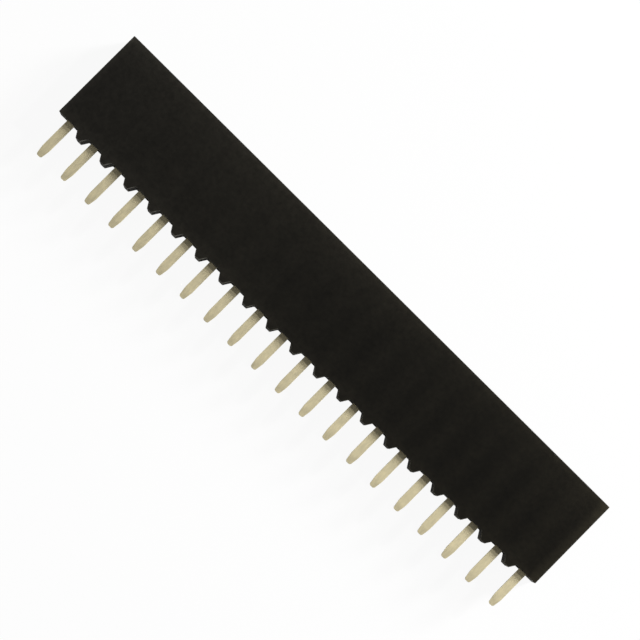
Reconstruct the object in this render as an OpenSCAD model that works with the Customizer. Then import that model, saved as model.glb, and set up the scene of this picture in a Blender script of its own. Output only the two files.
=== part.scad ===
// Socket strip for a circuit board: a moulded housing with a row of stamped and
// folded contacts. It lies on its back face. X runs along the row, Y points out
// of the mating face, and Z points out of the front face.

/* [Row] */
// Number of contacts in the row
positions = 20; // [2:1:40]
// Distance from one contact to the next
pitch = 2.54; // [2.5:0.01:3]

/* [Housing] */
// Thickness from the back face to the front face
housing_t = 2.5; // [2.4:0.05:2.8]
// Height from the roots of the feet to the mating face
housing_h = 8.1; // [7.5:0.1:10]
// Height of the feet that hold the housing off the board
foot_h = 0.56; // [0.3:0.02:0.8]
// Width of a foot where it meets the board
foot_tip_w = 0.44; // [0.36:0.02:0.7]
// Radius of the corners of a foot
foot_r = 0.07; // [0.03:0.01:0.1]
// Wall in front of the contacts
front_wall = 0.35; // [0.3:0.05:0.4]
// Wall behind the contacts
back_wall = 0.45; // [0.35:0.05:0.5]

/* [Sockets] */
// Width of the pocket that holds a contact
pocket_w = 1.4; // [1.36:0.02:1.44]
// Width of the square lead-in at the mating face
mouth_w = 1.7; // [1.4:0.05:1.8]
// Depth of the lead-in
mouth_depth = 0.5; // [0.3:0.05:0.7]
// Width of the square hole at the bottom of the lead-in
throat_w = 0.95; // [0.8:0.05:1.1]
// Thickness of the mating wall, with the lead-in and the hole
mating_wall = 1.2; // [1:0.05:1.4]

/* [Contacts] */
// Thickness of the sheet that the contacts are folded from
sheet_t = 0.2; // [0.18:0.01:0.25]
// Inside radius of the folds
fold_r = 0.05; // [0.03:0.01:0.08]
// Width of the folded channel
channel_w = 1.3; // [1.24:0.02:1.34]
// Length of the folded channel
channel_h = 2; // [1.6:0.1:2.4]
// Gap from the underside of the housing up to the channel
channel_inset = 0.15; // [0.1:0.05:0.4]
// Depth of the channel sides, front to back
channel_d = 1.5; // [1.4:0.02:1.55]
// Width of a spring beam
beam_w = 1.06; // [0.9:0.02:1.1]
// Gap between the beams where they grip a pin
grip_gap = 0.48; // [0.4:0.02:0.56]
// Distance from the mating face to the grip
grip_depth = 2.2; // [2.1:0.1:2.6]
// Outward slope of the beam ends, in degrees
beam_flare = 18; // [10:1:20]
// Length of the straight beam end above the grip
flare_l = 0.4; // [0.3:0.05:0.5]

/* [Tails] */
// Width of a solder tail
tail_w = 0.7; // [0.6:0.02:0.72]
// Length of a tail below the feet
tail_drop = 2.94; // [2.5:0.02:4]
// Width of the tip of a tail
tail_tip_w = 0.46; // [0.36:0.02:0.5]
// Length of the taper at the tip
tail_taper = 0.78; // [0.5:0.02:1]
// Radius of the corners of the tip
tail_tip_r = 0.15; // [0.05:0.01:0.16]

/* [Hidden] */
plastic_colour = "#1e1d1a";
tin_colour = "#c3b898";

row_l = positions * pitch;
pin_z = housing_t / 2;

// Heights above the board, which the tips of the feet rest on
underside = foot_h;
mating_face = foot_h + housing_h;
pocket_top = mating_face - mating_wall;
channel_bottom = underside + channel_inset;
channel_top = channel_bottom + channel_h;
grip_y = mating_face - grip_depth;

// Places the board's surface so that the whole part is centred along Y
seat_y = tail_drop - (tail_drop + mating_face) / 2;

// A foot fills the underside from one pocket to the next
foot_root_w = pitch - pocket_w;
foot_sink = 0.2;

// Faces of the sheet where it lies against the front wall
sheet_front = housing_t - front_wall;
sheet_back = sheet_front - sheet_t;

// Spring beam: straight from the channel, round at the grip, then flared
channel_in = channel_w / 2 - sheet_t;
grip_r = 0.75;
grip_centre = [grip_gap / 2 + grip_r, grip_y];
beam_reach = grip_centre - [channel_in, channel_top];
beam_lean = asin(grip_r / norm(beam_reach)) - atan2(beam_reach[0], beam_reach[1]);
beam_steps = 8;

// Barb: a tooth as high as the gap to the side of the pocket
barb_bottom = channel_bottom + 0.6;
barb_flat = 0.12;
barb_ramp = 0.5;
barb_w = 0.7;

// Thinned end of a tail
coin_l = 0.6;
coin_t = 0.03;

corner_steps = 4;
overcut = 0.1;

function contact_x(i) = (i - (positions + 1) / 2) * pitch;
function foot_x(i) = contact_x(i) + pitch / 2;
function contact_name(i) = str("contact_", i < 10 ? "0" : "", i);

function unit(v) = v / norm(v);
function polar(r, a) = r * [cos(a), sin(a)];
function half_turn(a) = (a + 540) % 360 - 180;

// The round that replaces corner b, between its neighbours a and c
function corner(a, b, c, r) =
    r == 0 ? [b] :
    let (
        to_a = unit(a - b),
        to_c = unit(c - b),
        half = acos(to_a * to_c) / 2,
        centre = b + unit(to_a + to_c) * r / sin(half),
        from = b + to_a * r / tan(half) - centre,
        to = b + to_c * r / tan(half) - centre,
        start = atan2(from[1], from[0]),
        sweep = half_turn(atan2(to[1], to[0]) - start)
    )
    [for (i = [0:corner_steps]) centre + polar(r, start + sweep * i / corner_steps)];

// An outline with a radius at each of its corners
function rounded(points, radii) =
    let (n = len(points))
    [for (i = [0:n - 1]) each corner(points[(i + n - 1) % n], points[i], points[(i + 1) % n], radii[i])];

function reversed(list) = [for (i = [len(list) - 1:-1:0]) list[i]];

// Extrudes an outline drawn in X and Z along Y, up from height y
module extrude_y(y, h) {
    translate([0, y + h, 0])
        rotate([90, 0, 0])
            linear_extrude(h)
                children();
}

// Extrudes an outline drawn in Z and Y along X, to both sides
module extrude_x(w) {
    rotate([0, -90, 0])
        linear_extrude(w, center = true)
            children();
}

// Extrudes an outline drawn in X and Y along Z, between two heights
module extrude_z(z0, z1) {
    translate([0, 0, z0])
        linear_extrude(z1 - z0)
            children();
}

module foot_outline() {
    top = underside + foot_sink;
    polygon(rounded(
        [
            [-foot_root_w / 2, top],
            [-foot_root_w / 2, underside],
            [-foot_tip_w / 2, 0],
            [foot_tip_w / 2, 0],
            [foot_root_w / 2, underside],
            [foot_root_w / 2, top]
        ],
        [0, 0, foot_r, foot_r, 0, 0]
    ));
}

// Outline of the lead-in, drawn on past the mating face at the same slope
module lead_in_outline() {
    slope = (mouth_w - throat_w) / 2 / mouth_depth;
    over_w = mouth_w + 2 * slope * overcut;
    polygon([
        [-throat_w / 2, mating_face - mouth_depth],
        [throat_w / 2, mating_face - mouth_depth],
        [over_w / 2, mating_face + overcut],
        [-over_w / 2, mating_face + overcut]
    ]);
}

// The room that one contact and its pin take out of the housing
module socket() {
    pocket_d = housing_t - front_wall - back_wall;
    translate([-pocket_w / 2, underside - overcut, back_wall])
        cube([pocket_w, pocket_top - underside + overcut, pocket_d]);
    translate([-throat_w / 2, pocket_top - overcut, pin_z - throat_w / 2])
        cube([throat_w, mating_wall, throat_w]);
    translate([0, 0, pin_z])
        intersection() {
            extrude_z(-mouth_w, mouth_w) lead_in_outline();
            extrude_x(2 * mouth_w) lead_in_outline();
        }
}

module housing() {
    color(plastic_colour)
        translate([0, seat_y, 0])
            difference() {
                union() {
                    translate([-row_l / 2, underside, 0])
                        cube([row_l, housing_h, housing_t]);
                    for (i = [1:positions - 1])
                        translate([foot_x(i), 0, 0])
                            extrude_z(0, housing_t) foot_outline();
                }
                for (i = [1:positions])
                    translate([contact_x(i), 0, 0])
                        socket();
            }
}

// The flat blade, tapered across its width and thinned at its end
module tail() {
    tip = -tail_drop;
    top = channel_bottom + overcut;
    intersection() {
        extrude_z(sheet_back - overcut, sheet_front + overcut)
            polygon(rounded(
                [
                    [-tail_w / 2, top],
                    [-tail_w / 2, tip + tail_taper],
                    [-tail_tip_w / 2, tip],
                    [tail_tip_w / 2, tip],
                    [tail_w / 2, tip + tail_taper],
                    [tail_w / 2, top]
                ],
                [0, tail_taper / 2, tail_tip_r, tail_tip_r, tail_taper / 2, 0]
            ));
        extrude_x(2 * tail_w)
            polygon([
                [sheet_back, top],
                [sheet_back, tip + coin_l],
                [sheet_back + coin_t, tip],
                [sheet_front - coin_t, tip],
                [sheet_front, tip + coin_l],
                [sheet_front, top]
            ]);
    }
}

// The back of the channel lies on the front wall, and its sides point to the back
module channel() {
    edge = sheet_front - channel_d;
    extrude_y(channel_bottom, channel_h)
        polygon(rounded(
            [
                [-channel_w / 2, edge],
                [-channel_w / 2, sheet_front],
                [channel_w / 2, sheet_front],
                [channel_w / 2, edge],
                [channel_in, edge],
                [channel_in, sheet_back],
                [-channel_in, sheet_back],
                [-channel_in, edge]
            ],
            [0, fold_r + sheet_t, fold_r + sheet_t, 0, 0, fold_r, fold_r, 0]
        ));
}

// Points of one face of a beam from the grip to its end, at radius r
function beam_face(r) =
    let (
        turns = [for (i = [0:beam_steps]) -beam_lean + (beam_lean + beam_flare) * i / beam_steps],
        arc = [for (a = turns) grip_centre + r * [-cos(a), sin(a)]]
    )
    concat(arc, [arc[beam_steps] + flare_l * [sin(beam_flare), cos(beam_flare)]]);

module beam() {
    root = channel_top - sheet_t;
    inner = concat([[channel_in, root], [channel_in, channel_top]], beam_face(grip_r));
    outer = concat([[channel_w / 2, root], [channel_w / 2, channel_top]], beam_face(grip_r - sheet_t));
    extrude_z(pin_z - beam_w / 2, pin_z + beam_w / 2)
        polygon(concat(inner, reversed(outer)));
}

module barb() {
    extrude_z(pin_z - barb_w / 2, pin_z + barb_w / 2)
        polygon([
            [channel_w / 2 - sheet_t / 2, barb_bottom],
            [pocket_w / 2, barb_bottom],
            [pocket_w / 2, barb_bottom + barb_flat],
            [channel_w / 2, barb_bottom + barb_flat + barb_ramp],
            [channel_w / 2 - sheet_t / 2, barb_bottom + barb_flat + barb_ramp]
        ]);
}

module contact(i) {
    color(tin_colour)
        translate([contact_x(i), seat_y, 0]) {
            tail();
            channel();
            for (side = [0, 1])
                mirror([side, 0, 0]) {
                    beam();
                    barb();
                }
        }
}

housing();
for (i = [1:positions])
    contact(i);
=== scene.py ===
"""Looks of a socket strip for a circuit board.

A moulded black housing holds a row of stamped and folded contacts, whose solder tails stand out of
its underside. The strip lies on its back face, and the camera looks down on its front face.
"""

from __future__ import annotations

import logging
import math
from collections.abc import Callable, Sequence
from dataclasses import dataclass
from enum import Enum

import bmesh
import bpy
from mathutils import Matrix, Vector

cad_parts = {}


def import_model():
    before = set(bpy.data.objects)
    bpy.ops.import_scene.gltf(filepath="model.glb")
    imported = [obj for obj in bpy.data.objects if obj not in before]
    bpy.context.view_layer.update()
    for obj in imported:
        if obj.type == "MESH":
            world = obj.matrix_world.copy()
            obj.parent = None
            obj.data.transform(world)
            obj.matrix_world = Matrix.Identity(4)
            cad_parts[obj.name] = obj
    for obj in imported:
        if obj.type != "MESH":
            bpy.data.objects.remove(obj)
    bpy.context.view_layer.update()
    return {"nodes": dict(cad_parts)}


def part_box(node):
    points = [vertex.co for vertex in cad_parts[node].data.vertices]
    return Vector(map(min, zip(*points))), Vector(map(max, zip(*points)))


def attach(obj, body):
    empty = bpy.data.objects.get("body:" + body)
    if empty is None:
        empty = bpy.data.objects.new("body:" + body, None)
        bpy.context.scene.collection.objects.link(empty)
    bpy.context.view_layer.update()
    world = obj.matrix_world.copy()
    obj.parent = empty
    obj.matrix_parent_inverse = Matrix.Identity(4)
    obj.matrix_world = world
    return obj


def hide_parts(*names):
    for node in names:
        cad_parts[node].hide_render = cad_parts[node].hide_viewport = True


LOG = logging.getLogger("socket_strip")

Socket = bpy.types.NodeSocket
Triple = tuple[float, float, float]
Span = tuple[float, float]
Tones = tuple[tuple[float, float], ...]  # places from 0 to 1 across a piece, with a factor at each

MM = 0.001
NEAR = 1e-3  # millimetres within which two places count as one
FACING = 0.9  # least part of a normal along an axis for a face to look that way
UP = 1.0  # sign of a normal that points out of the mating face
DOWN = -1.0  # sign of a normal that points out of the underside
SIDES = (-1.0, 1.0)
SHARP = math.radians(30.0)  # turn from which an edge is rounded
SMOOTH = math.radians(50.0)  # turn up to which two faces are shaded as one
BODY = "root"

# the plastic's painted edge highlight is drawn on these rounds
ROUNDS = "rounds"  # attribute that is 1 on the rounds of outer edges and 0 elsewhere
ROUND_SLOT = 1  # material slot that tells the new rounds apart until they are marked

UNIT: Span = (0.0, 1.0)
EVEN: Triple = (1.0, 1.0, 1.0)  # the same along each axis, or in each part of a colour
WHITE = (1.0, 1.0, 1.0, 1.0)

# Sockets of a Mix node for colours, by number, because their names repeat for other kinds of value
MIX_SHARE = 0
MIX_LOW = 6
MIX_HIGH = 7
MIX_RESULT = 2

GRAIN_DETAIL = 3.0
GRAIN_ROUGHNESS = 0.6
GRAIN_CORE: Span = (0.35, 0.65)  # values that most of a grain lies between
GRAIN_REACH: Span = (0.3, 0.7)  # values that nearly all of a grain lies between
WAVE_SPAN = 2.0  # height of a wave from its lowest to its highest value


class Axis(Enum):
    """Axes of the frame, as normals of the planes that cut a mesh."""

    X = (1.0, 0.0, 0.0)
    Y = (0.0, 1.0, 0.0)
    Z = (0.0, 0.0, 1.0)


class Part(Enum):
    """What a selection on the bench is made of."""

    VERTS = "VERT"
    EDGES = "EDGE"
    FACES = "FACE"


class Slot(Enum):
    """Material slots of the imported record."""

    PLASTIC = "housing_plastic"
    TIN = "contact_tin"


class Bench:
    """One mesh, shaped in millimetres with Blender's own operators and then brought to metres."""

    def __init__(self, name: str) -> None:
        """Names the piece that will be made.

        Args:
            name: Name of the finished object.
        """
        self.name = name
        self.obj: bpy.types.Object

    def start_block(self, low: Vector, high: Vector) -> None:
        """Adds a block between two corners and opens it in edit mode.

        Args:
            low: Lowest corner, in millimetres.
            high: Highest corner, in millimetres.
        """
        bpy.ops.object.select_all(action="DESELECT")
        bpy.ops.mesh.primitive_cube_add(size=1.0, location=(low + high) / 2)
        self._open(high - low)

    def start_sheet(self, low: Vector, high: Vector) -> None:
        """Adds a level sheet between two corners at the same height and opens it in edit mode.

        Args:
            low: Lowest corner, in millimetres.
            high: Highest corner, in millimetres.
        """
        bpy.ops.object.select_all(action="DESELECT")
        bpy.ops.mesh.primitive_plane_add(size=1.0, location=(low + high) / 2)
        self._open(Vector((high.x - low.x, high.y - low.y, 1.0)))

    def _open(self, size: Vector) -> None:
        """Puts the new object's place and size into its mesh and enters edit mode.

        Args:
            size: Its size along each axis.
        """
        self.obj = bpy.context.object
        self.obj.name = self.name
        self.obj.data.name = self.name
        self.obj.scale = size
        bpy.ops.object.transform_apply(location=True, rotation=True, scale=True)
        self.reopen()

    def reopen(self) -> None:
        """Enters edit mode."""
        bpy.ops.object.mode_set(mode="EDIT")

    def close(self) -> None:
        """Leaves edit mode."""
        bpy.ops.object.mode_set(mode="OBJECT")

    def pick(self, part: Part, test: Callable[[Vector, Vector], bool]) -> None:
        """Selects what passes a test, and nothing else.

        Args:
            part: Whether vertices, edges or faces are picked.
            test: Takes the middle of one of them, and its normal or, for an edge, its direction.
        """
        bpy.ops.mesh.select_mode(type=part.value)
        bpy.ops.mesh.select_all(action="DESELECT")
        mesh = bmesh.from_edit_mesh(self.obj.data)
        if part is Part.FACES:
            for face in mesh.faces:
                face.select_set(test(face.calc_center_median(), face.normal))
        elif part is Part.EDGES:
            for edge in mesh.edges:
                first, last = (vert.co for vert in edge.verts)
                edge.select_set(test((first + last) / 2, (last - first).normalized()))
        else:
            for vert in mesh.verts:
                vert.select_set(test(vert.co, vert.normal))
        mesh.select_flush_mode()
        bmesh.update_edit_mesh(self.obj.data)

    def cut(self, axis: Axis, distance: float) -> None:
        """Adds edges where a plane crosses the mesh.

        Args:
            axis: The plane's normal.
            distance: Distance of the plane from the origin.
        """
        bpy.ops.mesh.select_all(action="SELECT")
        place = distance * Vector(axis.value)
        bpy.ops.mesh.bisect(plane_co=place, plane_no=axis.value, threshold=NEAR)

    def extrude(self, move: Sequence[float] = (0.0, 0.0, 0.0)) -> None:
        """Extrudes the selection.

        Args:
            move: How far the new faces or edges go; they stay in place if it isn't given.
        """
        bpy.ops.mesh.extrude_region_move(TRANSFORM_OT_translate={"value": move})

    def scale(self, factors: Sequence[float], centre: Sequence[float]) -> None:
        """Scales the selection about a point.

        Args:
            factors: Factor along each axis.
            centre: The point that stays.
        """
        bpy.ops.transform.resize(value=factors, center_override=centre)

    def shift(self, move: Sequence[float]) -> None:
        """Moves the selection.

        Args:
            move: How far it goes.
        """
        bpy.ops.transform.translate(value=move)

    def weld(self) -> None:
        """Merges vertices that are in one place and turns all faces outwards."""
        bpy.ops.mesh.select_mode(type=Part.VERTS.value)
        bpy.ops.mesh.select_all(action="SELECT")
        bpy.ops.mesh.remove_doubles(threshold=NEAR)
        bpy.ops.mesh.normals_make_consistent(inside=False)

    def apply(self, kind: str, **settings: object) -> None:
        """Adds a modifier, in object mode, and applies it.

        Args:
            kind: Blender's name for the modifier.
            **settings: Its settings.
        """
        modifier = self.obj.modifiers.new(kind.lower(), kind)
        for name, value in settings.items():
            setattr(modifier, name, value)
        bpy.ops.object.modifier_apply(modifier=modifier.name)

    def soften(self, radius: float, segments: int) -> None:
        """Rounds every sharp edge, marks the rounds and shades the mesh smooth, in object mode.

        Args:
            radius: Size of the rounds, in millimetres.
            segments: Faces across a round.
        """
        for _ in range(ROUND_SLOT + 1):
            self.obj.data.materials.append(None)
        self.apply(
            "BEVEL",
            width=radius,
            segments=segments,
            limit_method="ANGLE",
            angle_limit=SHARP,
            material=ROUND_SLOT,
        )
        self._mark_rounds()
        bpy.ops.object.shade_smooth_by_angle(angle=SMOOTH)
        self.apply("WEIGHTED_NORMAL", keep_sharp=True)

    def _mark_rounds(self) -> None:
        """Marks the rounds of outer edges with an attribute, and clears the slots used for that."""
        mesh = self.obj.data
        marks = mesh.attributes.new(ROUNDS, "FLOAT", "FACE")
        shape = bmesh.new()
        shape.from_mesh(mesh)
        for face, mark in zip(shape.faces, marks.data):
            bulge = sum(edge.calc_face_angle_signed(0.0) for edge in face.edges)
            mark.value = float(face.material_index == ROUND_SLOT and bulge > 0.0)
        shape.free()
        for face in mesh.polygons:
            face.material_index = 0
        mesh.materials.clear()

    def to_metres(self) -> bpy.types.Object:
        """Brings the finished mesh from millimetres to metres.

        Returns:
            The finished object, at the origin and unscaled.
        """
        self.obj.scale = (MM, MM, MM)
        bpy.ops.object.transform_apply(location=True, rotation=True, scale=True)
        return self.obj


class ShaderSheet:
    """A node tree that is filled by name."""

    def __init__(self, tree: bpy.types.NodeTree) -> None:
        """Takes a tree and empties it.

        Args:
            tree: The tree of a material, a world or a group.
        """
        self.tree = tree
        tree.nodes.clear()

    def add(
        self, kind: str, settings: dict[str, object] | None = None, **inputs: object
    ) -> bpy.types.Node:
        """Adds a node.

        Args:
            kind: Blender's name for the node, without its prefix.
            settings: Properties of the node itself.
            **inputs: Sockets by name, with underscores for spaces; a socket is linked, a value set.

        Returns:
            The new node.
        """
        prefix = "" if kind.startswith("NodeGroup") else "ShaderNode"
        node = self.tree.nodes.new(prefix + kind)
        for name, value in (settings or {}).items():
            setattr(node, name, value)
        for name, value in inputs.items():
            self.feed(node, name.replace("_", " "), value)
        return node

    def feed(self, node: bpy.types.Node, name: str | int, value: object) -> None:
        """Links or sets one input.

        Args:
            node: The node that takes it.
            name: Name or number of its socket.
            value: A socket to link, or a value to set.
        """
        if isinstance(value, Socket):
            self.tree.links.new(value, node.inputs[name])
        else:
            node.inputs[name].default_value = value

    def math(self, operation: str, first: object, second: object = 0.0) -> Socket:
        """Adds a Math node.

        Args:
            operation: Blender's name for the operation.
            first: First value or socket.
            second: Second value or socket.

        Returns:
            The result's socket.
        """
        node = self.add("Math", {"operation": operation})
        self.feed(node, 0, first)
        self.feed(node, 1, second)
        return node.outputs[0]

    def scale(self, vector: Socket, factor: object) -> Socket:
        """Scales a vector or a colour by one factor."""
        node = self.add("VectorMath", {"operation": "SCALE"}, Vector=vector, Scale=factor)
        return node.outputs[0]

    def multiply(self, first: Socket, second: Socket) -> Socket:
        """Multiplies two vectors or colours, part by part.

        Args:
            first: First vector's socket.
            second: Second vector's socket.

        Returns:
            The result's socket.
        """
        node = self.add("VectorMath", {"operation": "MULTIPLY"})
        self.feed(node, 0, first)
        self.feed(node, 1, second)
        return node.outputs[0]

    def blend(self, share: object, low: Triple, high: Triple) -> Socket:
        """Mixes two colours.

        Args:
            share: Share of the second colour.
            low: First colour.
            high: Second colour.

        Returns:
            The mixed colour's socket.
        """
        node = self.add("Mix", {"data_type": "RGBA"})
        self.feed(node, MIX_SHARE, share)
        self.feed(node, MIX_LOW, (*low, 1.0))
        self.feed(node, MIX_HIGH, (*high, 1.0))
        return node.outputs[MIX_RESULT]

    def spread(self, value: Socket, result: Span, given: Span = UNIT) -> Socket:
        """Maps a value from one range to another, and holds it there.

        Args:
            value: The value's socket.
            result: Results at the start and the end of the range.
            given: Start and end of the range.

        Returns:
            The result's socket.
        """
        node = self.add("MapRange", Value=value, From_Min=given[0], From_Max=given[1])
        self.feed(node, "To Min", result[0])
        self.feed(node, "To Max", result[1])
        return node.outputs["Result"]

    def table(self, share: Socket, tones: Tones) -> Socket:
        """Looks a factor up by its place across a piece.

        Args:
            share: Place across the piece, from 0 to 1.
            tones: The factors at some places.

        Returns:
            The factor's socket.
        """
        ramp = self.add("ValToRGB", Fac=share)
        top = max(level for _, level in tones)
        stops = ramp.color_ramp.elements
        while len(stops) < len(tones):
            stops.new(0.5)
        for stop, (position, level) in zip(stops, tones):
            stop.position = position
            stop.color = (level / top, level / top, level / top, 1.0)
        return self.math("MULTIPLY", ramp.outputs["Color"], top)


def grain_group() -> bpy.types.NodeTree:
    """Makes the group that gives a fine grain over a surface.

    Returns:
        A node group that takes a grain's number per millimetre and its stretch, and gives a value.
    """
    tree = bpy.data.node_groups.new("grain", "ShaderNodeTree")
    for name, kind in (("Per mm", "NodeSocketFloat"), ("Stretch", "NodeSocketVector")):
        tree.interface.new_socket(name, in_out="INPUT", socket_type=kind)
    tree.interface.new_socket("Value", in_out="OUTPUT", socket_type="NodeSocketFloat")
    sheet = ShaderSheet(tree)
    given = sheet.add("NodeGroupInput")
    place = sheet.add("TexCoord").outputs["Object"]
    noise = sheet.add(
        "TexNoise",
        Vector=sheet.multiply(sheet.scale(place, 1.0 / MM), given.outputs["Stretch"]),
        Scale=given.outputs["Per mm"],
        Detail=GRAIN_DETAIL,
        Roughness=GRAIN_ROUGHNESS,
    )
    sheet.add("NodeGroupOutput", Value=noise.outputs[0])
    return tree


@dataclass(frozen=True)
class Finish:
    """A finish that is drawn with the shared grain."""

    name: str
    grain: bpy.types.NodeTree

    def sheet(self) -> tuple[bpy.types.Material, ShaderSheet]:
        """Starts the finish's material.

        Returns:
            The material and its empty node sheet.
        """
        material = bpy.data.materials.new(self.name)
        material.use_nodes = True
        return material, ShaderSheet(material.node_tree)

    def grain_value(self, sheet: ShaderSheet, per_mm: float, stretch: Triple = EVEN) -> Socket:
        """Places the grain in a material.

        Args:
            sheet: The material's sheet.
            per_mm: Grains in a millimetre.
            stretch: Factor on the place along each axis.

        Returns:
            The grain's value socket.
        """
        node = sheet.add("Group", {"node_tree": self.grain})
        sheet.feed(node, "Per mm", per_mm)
        sheet.feed(node, "Stretch", stretch)
        return node.outputs["Value"]


@dataclass(frozen=True)
class Spot:
    """Where a point of the plastic is, in metres and as shares along and up the housing."""

    x: Socket
    y: Socket
    along: Socket
    upwards: Socket


@dataclass(frozen=True)
class PlasticFinish(Finish):
    """Moulded black plastic with a fine satin skin and faint sink marks over the pockets.

    Places and depths are in millimetres. The tones are factors on the plastic's colour; besides
    its random grain, they paint light and shade into it: shading along and up the housing,
    highlights on its edges and rim, shade over the sink marks and a colour cast along the row.
    """

    pitch: float
    first_x: float
    underside: float
    mating_face: float
    # The plastic's colour at each end; the shift from cooler at the left to warmer at the right is
    # a painted colour cast of the light
    left_lit_colour: Triple = (0.0080, 0.0073, 0.0058)
    right_lit_colour: Triple = (0.0085, 0.0073, 0.0046)
    specular: float = 0.1

    # Grain, from coarse to fine
    cloud_per_mm: float = 0.35
    cloud_tone: Span = (0.93, 1.07)
    mottle_per_mm: float = 3.0
    mottle_tone: Span = (0.4, 1.6)
    skin_per_mm: float = 9.0
    skin_roughness: Span = (0.5, 0.6)
    skin_depth: float = 0.004
    skin_strength: float = 0.5

    # Painted highlight on the rounds of outer edges: its tone on the feet, and the share of it that
    # is left above the underside
    edge_highlight_tone: Triple = (6.4, 6.9, 8.0)
    edge_highlight_fade: float = 0.2
    edge_highlight_reach: float = 0.25

    # Painted light from the underside up to the mating face: shading that changes with height, with
    # painted highlights along the lower and upper edges
    height_light_tones: Tones = (
        (0.0, 1.55),
        (0.12, 1.08),
        (0.4, 1.0),
        (0.75, 1.16),
        (0.93, 1.45),
        (0.99, 2.2),
        (1.0, 1.0),
    )

    # Painted light from the left end to the right end: lighter at the left and darker towards the
    # right, with painted highlights on the edges at both ends; and the painted sheen that is added
    # along the mating face's rim
    length_light_tones: Tones = (
        (0.0, 2.3),
        (0.006, 1.6),
        (0.012, 1.27),
        (0.3, 1.15),
        (0.5, 0.81),
        (0.88, 0.67),
        (0.983, 0.84),
        (0.994, 1.7),
        (1.0, 1.9),
    )
    # Painted sheen along the rim: its tone along the row, and its reach down from the mating face
    rim_sheen_tones: Tones = ((0.36, 0.0), (0.43, 0.27), (0.57, 0.25), (0.68, 0.1), (1.0, 0.06))
    rim_sheen_heights: Tones = (
        (0.6, 0.0),
        (0.78, 0.27),
        (0.91, 0.62),
        (0.96, 1.0),
        (0.99, 1.0),
        (1.0, 0.0),
    )

    # End faces: a darker factor on the last stretch of each end, which keeps the painted highlight
    # of the length tones off the end faces
    end_tone: float = 0.45
    end_depth: float = 0.05

    # Sink marks, which are deepest in the lower half; their painted shade in the colour is
    # strongest towards the right end
    sink_heights: Tones = (
        (0.0, 0.3),
        (0.15, 0.8),
        (0.3, 1.0),
        (0.5, 1.0),
        (0.8, 0.45),
        (1.0, 0.3),
    )
    sink_shade_tone: Span = (0.015, 0.166)
    sink_depth: float = 0.004

    @property
    def end_x(self) -> float:
        """Place of the right end along X; the left end is as far the other way."""
        return self.pitch / 2 - self.first_x

    def build(self) -> bpy.types.Material:
        """Makes the material.

        Returns:
            The finished material.
        """
        material, sheet = self.sheet()
        spot = self._spot(sheet)
        sunk = self._sink_marks(sheet, spot)
        # painted colour cast of the light along the row, blended over the plastic's own colour
        lit_hue = sheet.blend(spot.along, self.left_lit_colour, self.right_lit_colour)
        even = sheet.scale(lit_hue, self._tone(sheet, spot, sunk))
        skin = self.grain_value(sheet, self.skin_per_mm)
        dips = sheet.add(
            "Bump",
            Strength=1.0,
            Distance=self.sink_depth * MM,
            Height=sheet.math("DIVIDE", sunk, -WAVE_SPAN),
        )
        fine = sheet.add(
            "Bump",
            Strength=self.skin_strength,
            Distance=self.skin_depth * MM,
            Height=skin,
            Normal=dips.outputs[0],
        )
        # the base colour carries the painted light, shade and colour cast of the tones and the
        # painted edge highlight
        shader = sheet.add(
            "BsdfPrincipled",
            Base_Color=sheet.multiply(even, self._painted_edge_highlights(sheet, spot)),
            Roughness=sheet.spread(skin, self.skin_roughness, GRAIN_REACH),
            Normal=fine.outputs[0],
        )
        sheet.feed(shader, "Specular IOR Level", self.specular)
        sheet.add("OutputMaterial", Surface=shader.outputs[0])
        return material

    def _spot(self, sheet: ShaderSheet) -> Spot:
        """Finds where a point of the surface is.

        Args:
            sheet: The material's sheet.

        Returns:
            The sockets of its place.
        """
        place = sheet.add("SeparateXYZ", Vector=sheet.add("TexCoord").outputs["Object"])
        x, y = place.outputs["X"], place.outputs["Y"]
        along = sheet.spread(x, UNIT, (-self.end_x * MM, self.end_x * MM))
        upwards = sheet.spread(y, UNIT, (self.underside * MM, self.mating_face * MM))
        return Spot(x, y, along, upwards)

    def _sink_marks(self, sheet: ShaderSheet, spot: Spot) -> Socket:
        """Draws a wave along the row with its crests over the pockets, and fades it by height.

        Args:
            sheet: The material's sheet.
            spot: Where a point of the surface is.

        Returns:
            The wave's socket.
        """
        turns = sheet.math("SUBTRACT", spot.x, self.first_x * MM)
        angle = sheet.math("MULTIPLY", turns, 2.0 * math.pi / (self.pitch * MM))
        wave = sheet.math("COSINE", angle)
        return sheet.math("MULTIPLY", wave, sheet.table(spot.upwards, self.sink_heights))

    def _tone(self, sheet: ShaderSheet, spot: Spot, sunk: Socket) -> Socket:
        """Draws how the plastic's tone changes over the housing: painted light and shade along and
        up it, painted highlights towards its edges, a painted sheen along the rim, painted shade
        over the sink marks, and a random grain.

        Args:
            sheet: The material's sheet.
            spot: Where a point of the surface is.
            sunk: The wave of the sink marks.

        Returns:
            The socket of a factor on the colour.
        """
        # painted shade over the sink marks, stronger towards the right end
        shade = sheet.math("MULTIPLY", sunk, sheet.spread(spot.along, self.sink_shade_tone))
        # painted sheen along the middle of the mating face's rim
        rim = sheet.math(
            "MULTIPLY",
            sheet.table(spot.along, self.rim_sheen_tones),
            sheet.table(spot.upwards, self.rim_sheen_heights),
        )
        factor = sheet.math("SUBTRACT", sheet.table(spot.along, self.length_light_tones), shade)
        factor = sheet.math("ADD", factor, rim)
        cloud = self.grain_value(sheet, self.cloud_per_mm)
        mottle = self.grain_value(sheet, self.mottle_per_mm)
        end_span = ((self.end_x - self.end_depth) * MM, self.end_x * MM)
        for other in (
            sheet.table(spot.upwards, self.height_light_tones),
            sheet.spread(cloud, self.cloud_tone, GRAIN_CORE),
            sheet.spread(mottle, self.mottle_tone),
            sheet.spread(sheet.math("ABSOLUTE", spot.x), (1.0, self.end_tone), end_span),
        ):
            factor = sheet.math("MULTIPLY", factor, other)
        return factor

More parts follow.
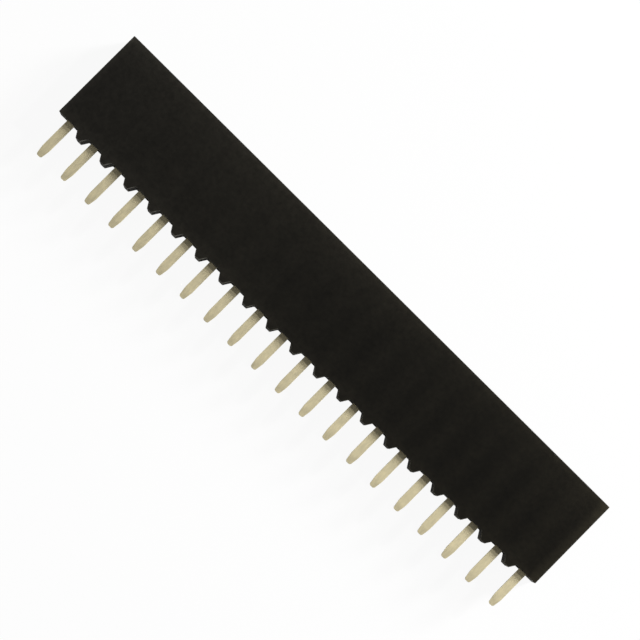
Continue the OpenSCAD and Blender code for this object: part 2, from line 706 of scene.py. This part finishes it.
    def _painted_edge_highlights(self, sheet: ShaderSheet, spot: Spot) -> Socket:
        """Draws a painted highlight on the rounds of outer edges, full on the feet and fainter
        above the underside.

        Args:
            sheet: The material's sheet.
            spot: Where a point of the surface is.

        Returns:
            The socket of a factor on each part of the colour.
        """
        rounds = sheet.add("Attribute", {"attribute_name": ROUNDS}).outputs["Fac"]
        fade_span = ((self.underside - self.edge_highlight_reach) * MM, self.underside * MM)
        fade = sheet.spread(spot.y, (1.0, self.edge_highlight_fade), fade_span)
        return sheet.blend(sheet.math("MULTIPLY", rounds, fade), EVEN, self.edge_highlight_tone)


@dataclass(frozen=True)
class TinFinish(Finish):
    """Matt tin plating on rolled sheet, with faint lines along the tails."""

    low_colour: Triple = (0.70, 0.636, 0.440)
    high_colour: Triple = (0.81, 0.734, 0.508)
    cloud_per_mm: float = 1.6
    cloud_share: float = 0.6
    line_per_mm: float = 14.0
    line_stretch: Triple = (1.0, 0.12, 1.0)
    line_roughness: Span = (0.62, 0.74)
    line_depth: float = 0.003
    line_strength: float = 0.4

    def build(self) -> bpy.types.Material:
        """Makes the material.

        Returns:
            The finished material.
        """
        material, sheet = self.sheet()
        cloud = self.grain_value(sheet, self.cloud_per_mm)
        lines = self.grain_value(sheet, self.line_per_mm, self.line_stretch)
        mixed = sheet.math(
            "ADD",
            sheet.math("MULTIPLY", cloud, self.cloud_share),
            sheet.math("MULTIPLY", lines, 1.0 - self.cloud_share),
        )
        share = sheet.spread(mixed, UNIT, GRAIN_CORE)
        bump = sheet.add(
            "Bump", Strength=self.line_strength, Distance=self.line_depth * MM, Height=lines
        )
        shader = sheet.add(
            "BsdfPrincipled",
            Base_Color=sheet.blend(share, self.low_colour, self.high_colour),
            Roughness=sheet.spread(lines, self.line_roughness, GRAIN_REACH),
            Metallic=1.0,
            Normal=bump.outputs[0],
        )
        sheet.add("OutputMaterial", Surface=shader.outputs[0])
        return material


@dataclass(frozen=True)
class Row:
    """Places along the strip, in millimetres, as the frame gives them."""

    low: Vector
    high: Vector
    contact_x: tuple[float, ...]

    @classmethod
    def from_frame(cls, nodes: dict[str, bpy.types.Object]) -> Row:
        """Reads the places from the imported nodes.

        Args:
            nodes: The CAD nodes by name.

        Returns:
            The housing's corners and the contacts' centres.
        """
        low, high = (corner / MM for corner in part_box("housing"))
        names = sorted(name for name in nodes if name.startswith("contact_"))
        centres = tuple(sum(corner.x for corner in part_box(name)) / 2 / MM for name in names)
        return cls(low, high, centres)

    @property
    def pitch(self) -> float:
        """Distance from one contact to the next."""
        return (self.contact_x[-1] - self.contact_x[0]) / (len(self.contact_x) - 1)

    @property
    def foot_x(self) -> tuple[float, ...]:
        """Middles of the feet, halfway between the contacts."""
        return tuple((a + b) / 2 for a, b in zip(self.contact_x, self.contact_x[1:]))

    @property
    def pin_z(self) -> float:
        """Height of the axis that a header pin goes in along."""
        return (self.low.z + self.high.z) / 2


class SubAssembly:
    """Pieces of one kind, which are built and then dressed."""

    slot: Slot

    def dress(self, piece: bpy.types.Object, node: str, material: bpy.types.Material) -> None:
        """Gives a piece its finish, and puts it in its CAD node's place.

        Args:
            piece: The finished piece.
            node: Name of the CAD node that it stands for.
            material: Its finish.
        """
        piece.data.materials.clear()
        piece.data.materials.append(material)
        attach(piece, BODY)
        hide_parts(node)
        LOG.info("%s stands for %s with %d faces", piece.name, node, len(piece.data.polygons))


@dataclass
class Housing(SubAssembly):
    """The moulded block, with pockets, lead-ins on the mating face and feet on the underside."""

    row: Row
    slot: Slot = Slot.PLASTIC
    foot_h: float = 0.56
    foot_tip_w: float = 0.44
    pocket_w: float = 1.4
    front_wall: float = 0.35
    back_wall: float = 0.45
    mouth_w: float = 1.7
    mouth_depth: float = 0.5
    throat_w: float = 0.95
    mating_wall: float = 1.2
    edge_r: float = 0.05
    edge_segments: int = 3

    @property
    def underside(self) -> float:
        """Height of the underside, where the feet are rooted, along Y."""
        return self.row.low.y + self.foot_h

    @property
    def pocket_top(self) -> float:
        """Height of the pockets' closed ends along Y."""
        return self.row.high.y - self.mating_wall

    @property
    def pocket_d(self) -> float:
        """Depth of a pocket from front to back."""
        return self.row.high.z - self.row.low.z - self.front_wall - self.back_wall

    @property
    def pocket_z(self) -> float:
        """Middle of a pocket from front to back."""
        return self.row.low.z + self.back_wall + self.pocket_d / 2

    def build(self) -> bpy.types.Object:
        """Shapes the housing.

        Returns:
            The finished object.
        """
        bench = Bench("housing_shell")
        corner = Vector((self.row.low.x, self.underside, self.row.low.z))
        bench.start_block(corner, self.row.high)
        self._cut_cells(bench)
        self._raise_feet(bench)
        self._sink_pockets(bench)
        self._open_mouths(bench)
        self._join_pockets(bench)
        bench.close()
        bench.soften(self.edge_r, self.edge_segments)
        return bench.to_metres()

    def _over_pocket(self, place: Vector) -> bool:
        """Says whether a place is inside a pocket's outline along the row."""
        return any(abs(place.x - x) < self.pocket_w / 2 for x in self.row.contact_x)

    def _in_cell(self, place: Vector) -> bool:
        """Says whether a place is inside a pocket's outline."""
        return self._over_pocket(place) and abs(place.z - self.pocket_z) < self.pocket_d / 2

    @staticmethod
    def _pick_level(bench: Bench, y: float, facing: float, test: Callable[[Vector], bool]) -> None:
        """Selects faces that lie at one height, look up or down, and pass a test.

        Args:
            bench: The bench with the block.
            y: Height of the faces.
            facing: UP or DOWN.
            test: Takes the middle of a face.
        """
        bench.pick(
            Part.FACES,
            lambda mid, normal: normal.y * facing > FACING and abs(mid.y - y) < NEAR and test(mid),
        )

    def _cut_cells(self, bench: Bench) -> None:
        """Marks the pockets' outlines on the block.

        Args:
            bench: The bench with the block.
        """
        for x in self.row.contact_x:
            for side in SIDES:
                bench.cut(Axis.X, x + side * self.pocket_w / 2)
        for z in (self.row.low.z + self.back_wall, self.row.high.z - self.front_wall):
            bench.cut(Axis.Z, z)

    def _raise_feet(self, bench: Bench) -> None:
        """Draws the feet out of the underside and tapers them.

        Args:
            bench: The bench with the block.
        """
        first, last = self.row.contact_x[0], self.row.contact_x[-1]
        self._pick_level(
            bench,
            self.underside,
            DOWN,
            lambda mid: first < mid.x < last and not self._over_pocket(mid),
        )
        bench.extrude((0.0, -self.foot_h, 0.0))
        tip_y = self.row.low.y
        root_w = self.row.pitch - self.pocket_w
        for x in self.row.foot_x:
            self._pick_level(bench, tip_y, DOWN, lambda mid, x=x: abs(mid.x - x) < root_w / 2)
            bench.scale((self.foot_tip_w / root_w, 1.0, 1.0), (x, tip_y, self.row.pin_z))

    def _fit_squares(self, bench: Bench, y: float, facing: float, width: float) -> None:
        """Brings the pockets' outlines at one height to squares about the pins' axes.

        Args:
            bench: The bench with the block.
            y: Height of the outlines.
            facing: UP or DOWN, as their faces look.
            width: Width of the squares.
        """
        for x in self.row.contact_x:
            self._pick_level(
                bench, y, facing, lambda mid, x=x: abs(mid.x - x) < NEAR and self._in_cell(mid)
            )
            bench.scale((width / self.pocket_w, 1.0, width / self.pocket_d), (x, y, self.pocket_z))
            bench.shift((0.0, 0.0, self.row.pin_z - self.pocket_z))

    def _sink_pockets(self, bench: Bench) -> None:
        """Sinks the pockets from the underside, each with a square outline for its pin at the end.

        Args:
            bench: The bench with the block.
        """
        self._pick_level(bench, self.underside, DOWN, self._in_cell)
        bench.extrude((0.0, self.pocket_top - self.underside, 0.0))
        bench.extrude()
        self._fit_squares(bench, self.pocket_top, DOWN, self.throat_w)

    def _open_mouths(self, bench: Bench) -> None:
        """Sinks the square lead-ins and holes into the mating face.

        Args:
            bench: The bench with the block.
        """
        face = self.row.high.y
        bottom = face - self.mouth_depth
        share = self.throat_w / self.mouth_w
        self._fit_squares(bench, face, UP, self.mouth_w)
        self._pick_level(bench, face, UP, self._in_cell)
        bench.extrude((0.0, -self.mouth_depth, 0.0))
        for x in self.row.contact_x:
            self._pick_level(bench, bottom, UP, lambda mid, x=x: abs(mid.x - x) < NEAR)
            bench.scale((share, 1.0, share), (x, bottom, self.row.pin_z))
        self._pick_level(bench, bottom, UP, self._over_pocket)
        bench.extrude((0.0, self.mouth_depth - self.mating_wall, 0.0))

    def _join_pockets(self, bench: Bench) -> None:
        """Opens each hole into its pocket.

        Args:
            bench: The bench with the block.
        """
        bench.pick(
            Part.FACES,
            lambda mid, normal: abs(mid.y - self.pocket_top) < NEAR
            and abs(normal.y) > FACING
            and abs(mid.z - self.row.pin_z) < NEAR
            and any(abs(mid.x - x) < NEAR for x in self.row.contact_x),
        )
        bpy.ops.mesh.delete(type="ONLY_FACE")
        bench.weld()


@dataclass
class Contact(SubAssembly):
    """One contact, stamped from sheet: a tail, a folded channel with barbs and two beams."""

    row: Row
    underside: float
    low: Vector
    high: Vector
    slot: Slot = Slot.TIN
    sheet_t: float = 0.2
    edge_r: float = 0.025
    edge_segments: int = 2

    # Channel
    fold_r: float = 0.05
    fold_segments: int = 4
    channel_w: float = 1.3
    channel_h: float = 2.0
    channel_d: float = 1.5
    channel_inset: float = 0.15
    barb_lift: float = 0.6
    barb_flat: float = 0.12
    barb_ramp: float = 0.5
    barb_w: float = 0.7

    # Beams
    beam_w: float = 1.06
    beam_steps: int = 8
    beam_flare: float = math.radians(18.0)
    flare_l: float = 0.4
    grip_gap: float = 0.48
    grip_depth: float = 2.2
    grip_r: float = 0.75

    # Tail; the shoulder's rows and its blend are shares of the taper
    tail_w: float = 0.7
    tail_tip_w: float = 0.46
    tail_tip_r: float = 0.15
    tail_tip_steps: int = 5
    tail_taper: float = 0.78
    shoulder_rows: tuple[float, ...] = (1.3, 1.14, 1.06, 1.0, 0.94, 0.86, 0.7, 0.5, 0.3)
    shoulder_blend: float = 1.0 / 14.0
    coin_l: float = 0.6
    coin_t: float = 0.03

    @property
    def sheet_z(self) -> float:
        """Height of the middle of the sheet where it lies against the front wall."""
        return self.high.z - self.sheet_t / 2

    @property
    def wall_x(self) -> float:
        """Middle of a channel side, from the contact's own middle."""
        return (self.channel_w - self.sheet_t) / 2

    @property
    def channel_bottom(self) -> float:
        """Height of the channel's lower end along Y."""
        return self.underside + self.channel_inset

    @property
    def channel_top(self) -> float:
        """Height of the channel's upper end along Y."""
        return self.channel_bottom + self.channel_h

    @property
    def barb_heights(self) -> Triple:
        """Heights of a barb's foot, of the end of its flat, and of the end of its ramp."""
        foot = self.channel_bottom + self.barb_lift
        return foot, foot + self.barb_flat, foot + self.barb_flat + self.barb_ramp

    def build(self) -> bpy.types.Object:
        """Shapes one contact with its middle at X zero: half of it, then its mirror image.

        Returns:
            The finished object, in metres.
        """
        bench = Bench("contact_master")
        bench.start_sheet(
            Vector((0.0, self.channel_bottom, self.sheet_z)),
            Vector((self.wall_x, self.channel_top, self.sheet_z)),
        )
        self._fold_side(bench)
        self._draw_tail(bench)
        self._draw_beam(bench)
        bench.weld()
        bench.close()
        bench.apply("MIRROR", use_mirror_merge=True, merge_threshold=NEAR)
        bench.apply("SOLIDIFY", thickness=self.sheet_t, offset=0.0, use_even_offset=True)
        bench.reopen()
        bench.weld()
        self._coin_tip(bench)
        self._raise_barbs(bench)
        bench.close()
        bench.soften(self.edge_r, self.edge_segments)
        return bench.to_metres()

    def _fold_side(self, bench: Bench) -> None:
        """Folds the channel's side back from its base, and marks the tail, the beam and the barb.

        Args:
            bench: The bench with half of the base.
        """
        bench.cut(Axis.X, self.tail_w / 2)
        bench.pick(Part.EDGES, lambda mid, way: abs(mid.x - self.wall_x) < NEAR)
        bench.extrude((0.0, 0.0, self.sheet_t / 2 - self.channel_d))
        bench.pick(
            Part.EDGES,
            lambda mid, way: abs(mid.x - self.wall_x) < NEAR and abs(mid.z - self.sheet_z) < NEAR,
        )
        bpy.ops.mesh.bevel(
            offset=self.fold_r + self.sheet_t / 2, segments=self.fold_segments, affect="EDGES"
        )
        for width in (self.beam_w, self.barb_w):
            for side in SIDES:
                bench.cut(Axis.Z, self.row.pin_z + side * width / 2)
        for y in self.barb_heights:
            bench.cut(Axis.Y, y)

    def _flank(self, rise: float) -> float:
        """Gives half the width of the tail, with its shoulder rounded off.

        Args:
            rise: Distance from the tip.

        Returns:
            Half the width there, before the tip's corners are rounded.
        """
        slope = (self.tail_w - self.tail_tip_w) / 2 / self.tail_taper
        blend = self.tail_taper * self.shoulder_blend
        soft = math.log1p(math.exp((self.tail_taper - rise) / blend)) * blend
        return self.tail_w / 2 - slope * soft

    def _tail_rows(self) -> list[Span]:
        """Works out the tail's rows towards the tip.

        Returns:
            For each row, its distance from the tip and half its width.
        """
        rises = [share * self.tail_taper for share in self.shoulder_rows]
        rows = [(rise, self._flank(rise)) for rise in rises]
        for step in range(self.tail_tip_steps + 1):
            turn = math.pi / 2 * step / self.tail_tip_steps
            rise = self.tail_tip_r * (1.0 - math.sin(turn))
            rows.append((rise, self._flank(rise) - self.tail_tip_r * (1.0 - math.cos(turn))))
        return rows

    def _draw_tail(self, bench: Bench) -> None:
        """Draws the tail out of the channel's base, row by row.

        Args:
            bench: The bench with half of the contact.
        """
        y = self.channel_bottom
        width = self.tail_w / 2
        bench.pick(
            Part.EDGES,
            lambda mid, way: abs(mid.y - self.channel_bottom) < NEAR
            and mid.x < self.tail_w / 2
            and abs(mid.z - self.sheet_z) < NEAR,
        )
        for rise, half in self._tail_rows():
            row_y = self.low.y + rise
            bench.extrude((0.0, row_y - y, 0.0))
            bench.scale((half / width, 1.0, 1.0), (0.0, row_y, self.sheet_z))
            y = row_y
            width = half

    def _beam_places(self) -> list[Vector]:
        """Works out the middle of a beam: straight to the grip, round it, then flared.

        Returns:
            Places along the beam, from the channel up.
        """
        grip_y = self.row.high.y - self.grip_depth
        centre = Vector((self.grip_gap / 2 + self.grip_r, grip_y, 0.0))
        reach = centre - Vector((self.wall_x - self.sheet_t / 2, self.channel_top, 0.0))
        lean = math.asin(self.grip_r / reach.length) - math.atan2(reach.x, reach.y)
        radius = self.grip_r - self.sheet_t / 2
        places = []
        for step in range(self.beam_steps + 1):
            turn = -lean + (lean + self.beam_flare) * step / self.beam_steps
            places.append(centre + radius * Vector((-math.cos(turn), math.sin(turn), 0.0)))
        flare = Vector((math.sin(self.beam_flare), math.cos(self.beam_flare), 0.0))
        places.append(places[-1] + self.flare_l * flare)
        return places

    def _draw_beam(self, bench: Bench) -> None:
        """Draws the beam out of the channel's side.

        Args:
            bench: The bench with half of the contact.
        """
        bench.pick(
            Part.EDGES,
            lambda mid, way: abs(mid.y - self.channel_top) < NEAR
            and abs(mid.x - self.wall_x) < NEAR
            and abs(mid.z - self.row.pin_z) < self.beam_w / 2,
        )
        here = Vector((self.wall_x, self.channel_top, 0.0))
        for place in self._beam_places():
            bench.extrude(place - here)
            here = place

    def _coin_tip(self, bench: Bench) -> None:
        """Thins the end of the tail, row by row.

        Args:
            bench: The bench with the whole contact.
        """
        for rise, _ in self._tail_rows():
            if rise < self.coin_l:
                y = self.low.y + rise
                thick = self.sheet_t - 2 * self.coin_t * (1.0 - rise / self.coin_l)
                bench.pick(Part.VERTS, lambda place, normal, y=y: abs(place.y - y) < NEAR)
                bench.scale((1.0, 1.0, thick / self.sheet_t), (0.0, y, self.sheet_z))

    def _raise_barbs(self, bench: Bench) -> None:
        """Draws a barb out of each side of the channel, with a ramp at its upper end.

        Args:
            bench: The bench with the whole contact.
        """
        foot, _, end = self.barb_heights
        pocket_w = self.high.x - self.low.x
        middle = (0.0, 0.0, 0.0)
        bench.pick(
            Part.FACES,
            lambda mid, normal: abs(normal.x) > FACING
            and abs(abs(mid.x) - self.channel_w / 2) < NEAR
            and foot < mid.y < end
            and abs(mid.z - self.row.pin_z) < self.barb_w / 2,
        )
        bench.extrude()
        bench.scale((pocket_w / self.channel_w, 1.0, 1.0), middle)
        bench.pick(
            Part.VERTS,
            lambda place, normal: abs(abs(place.x) - pocket_w / 2) < NEAR
            and abs(place.y - end) < NEAR,
        )
        bench.scale((self.channel_w / pocket_w, 1.0, 1.0), middle)
        bench.weld()


def copy_along(master: bpy.types.Object, name: str, x: float) -> bpy.types.Object:
    """Copies a piece, with a mesh of its own, to a place along the row.

    Args:
        master: The piece at X zero.
        name: Name of the copy.
        x: Place of the copy, in metres.

    Returns:
        The copy, with its place in its mesh.
    """
    bpy.ops.object.select_all(action="DESELECT")
    master.select_set(True)
    bpy.context.view_layer.objects.active = master
    bpy.ops.object.duplicate()
    copy = bpy.context.object
    copy.name = name
    copy.data.name = name
    copy.location.x = x
    bpy.ops.object.transform_apply(location=True, rotation=True, scale=True)
    return copy


@dataclass(frozen=True)
class Lamp:
    """A soft square lamp, placed by the direction it shines from, in degrees and metres."""

    name: str
    turn: float
    lift: float
    strength: float
    size: float
    distance: float = 0.35

    def build(self, aim: Vector) -> None:
        """Makes the lamp.

        Args:
            aim: The point that it shines on.
        """
        light = bpy.data.lights.new(self.name, "AREA")
        light.shape = "SQUARE"
        light.size = self.size
        light.energy = self.strength
        lamp = bpy.data.objects.new(self.name, light)
        bpy.context.scene.collection.objects.link(lamp)
        turn, lift = math.radians(self.turn), math.radians(self.lift)
        level = math.cos(lift)
        way = Vector((level * math.cos(turn), level * math.sin(turn), math.sin(lift)))
        lamp.location = aim + self.distance * way
        lamp.rotation_euler = way.to_track_quat("Z", "Y").to_euler()
        lamp.visible_camera = False


@dataclass
class Studio:
    """The camera, the pale floor and the light around the strip."""

    # Camera: millimetres and degrees, from straight above the target; it clips in metres
    target: Triple = (-0.214, 0.396, 2.5)
    distance: float = 212.0
    lens: float = 157.40
    sensor: float = 36.0
    clip_start: float = 0.01
    tilt: float = -3.095
    lean: float = -0.134
    roll: float = -44.791

    # Floor: its size in metres, its paper's grey, and how much of it is plain white to each ray
    floor_size: float = 1.2
    paper: float = 0.9
    white_share: float = 0.93
    mirror_share: float = 0.1

    # Light
    sky: float = 0.08
    lamps: tuple[Lamp, ...] = (
        Lamp("lamp_key", turn=60.0, lift=35.4, strength=0.28, size=0.018, distance=0.28),
        Lamp("lamp_low", turn=60.0, lift=18.8, strength=1.40, size=0.062, distance=0.28),
        Lamp("lamp_left", turn=165.0, lift=66.0, strength=0.05, size=0.12),
        Lamp("fill_tails", turn=-90.0, lift=5.0, strength=0.4, size=0.04),
        Lamp("fill_left_end", turn=180.0, lift=5.0, strength=0.15, size=0.04),
        Lamp("fill_right_end", turn=0.0, lift=5.0, strength=0.35, size=0.04),
    )

    def build(self) -> None:
        """Makes the whole studio."""
        aim = Vector(self.target) * MM
        self._camera(aim)
        self._floor()
        self._world()
        for lamp in self.lamps:
            lamp.build(aim)

    def _camera(self, aim: Vector) -> None:
        """Places the camera above the front face, turned as the photograph is.

        Args:
            aim: The point that it looks at.
        """
        data = bpy.data.cameras.new("camera")
        data.sensor_width = self.sensor
        data.lens = self.lens
        data.clip_start = self.clip_start
        camera = bpy.data.objects.new("camera", data)
        bpy.context.scene.collection.objects.link(camera)
        camera.matrix_world = (
            Matrix.Translation(aim)
            @ Matrix.Rotation(math.radians(-self.lean), 4, "Y")
            @ Matrix.Rotation(math.radians(-self.tilt), 4, "X")
            @ Matrix.Rotation(math.radians(-self.roll), 4, "Z")
            @ Matrix.Translation((0.0, 0.0, self.distance * MM))
        )
        bpy.context.scene.camera = camera

    def _floor(self) -> None:
        """Lays the white floor that the strip lies on."""
        bpy.ops.object.select_all(action="DESELECT")
        bpy.ops.mesh.primitive_plane_add(size=self.floor_size)
        floor = bpy.context.object
        floor.name = "floor"
        material = bpy.data.materials.new("white_floor")
        material.use_nodes = True
        sheet = ShaderSheet(material.node_tree)
        paper = sheet.add("BsdfDiffuse", Color=(self.paper, self.paper, self.paper, 1.0))
        white = sheet.add("Emission", Color=WHITE, Strength=1.0)
        share = sheet.math("MULTIPLY", self._seen(sheet), self.white_share)
        mixed = sheet.add("MixShader", Fac=share)
        sheet.feed(mixed, 1, paper.outputs[0])
        sheet.feed(mixed, 2, white.outputs[0])
        sheet.add("OutputMaterial", Surface=mixed.outputs[0])
        floor.data.materials.append(material)

    def _seen(self, sheet: ShaderSheet) -> Socket:
        """Tells rays that show the background from those that light the strip.

        Args:
            sheet: The sheet that needs it.

        Returns:
            A socket that is 1 for camera and transmission rays and less for glossy ones, which keep
            the strip's shadow.
        """
        path = sheet.add("LightPath")
        mirrored = sheet.math("MULTIPLY", path.outputs["Is Glossy Ray"], self.mirror_share)
        shown = sheet.math("MAXIMUM", path.outputs["Is Camera Ray"], mirrored)
        return sheet.math("MAXIMUM", shown, path.outputs["Is Transmission Ray"])

    def _world(self) -> None:
        """Surrounds the strip with dim light, and with white where the view passes the floor."""
        world = bpy.data.worlds.new("world")
        bpy.context.scene.world = world
        world.use_nodes = True
        sheet = ShaderSheet(world.node_tree)
        path = sheet.add("LightPath")
        strength = sheet.spread(path.outputs["Is Camera Ray"], (self.sky, 1.0))
        light = sheet.add("Background", Color=WHITE, Strength=strength)
        sheet.add("OutputWorld", Surface=light.outputs[0])


def main() -> None:
    """Builds the strip and its studio."""
    logging.basicConfig(level=logging.INFO, format="%(name)s: %(message)s")
    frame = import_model()
    bpy.context.scene.view_settings.view_transform = "Standard"
    row = Row.from_frame(frame["nodes"])
    Studio().build()

    grain = grain_group()
    housing = Housing(row)
    plastic = PlasticFinish(
        "black_plastic", grain, row.pitch, row.contact_x[0], housing.underside, row.high.y
    ).build()
    tin = TinFinish("matt_tin", grain).build()

    housing.dress(housing.build(), "housing", plastic)
    low, high = (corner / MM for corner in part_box("contact_01"))
    contact = Contact(row, housing.underside, low, high)
    master = contact.build()
    for number, x in enumerate(row.contact_x, start=1):
        piece = copy_along(master, f"pin_{number:02d}", x * MM)
        contact.dress(piece, f"contact_{number:02d}", tin)
    bpy.data.objects.remove(master)


if __name__ == "__main__":
    main()
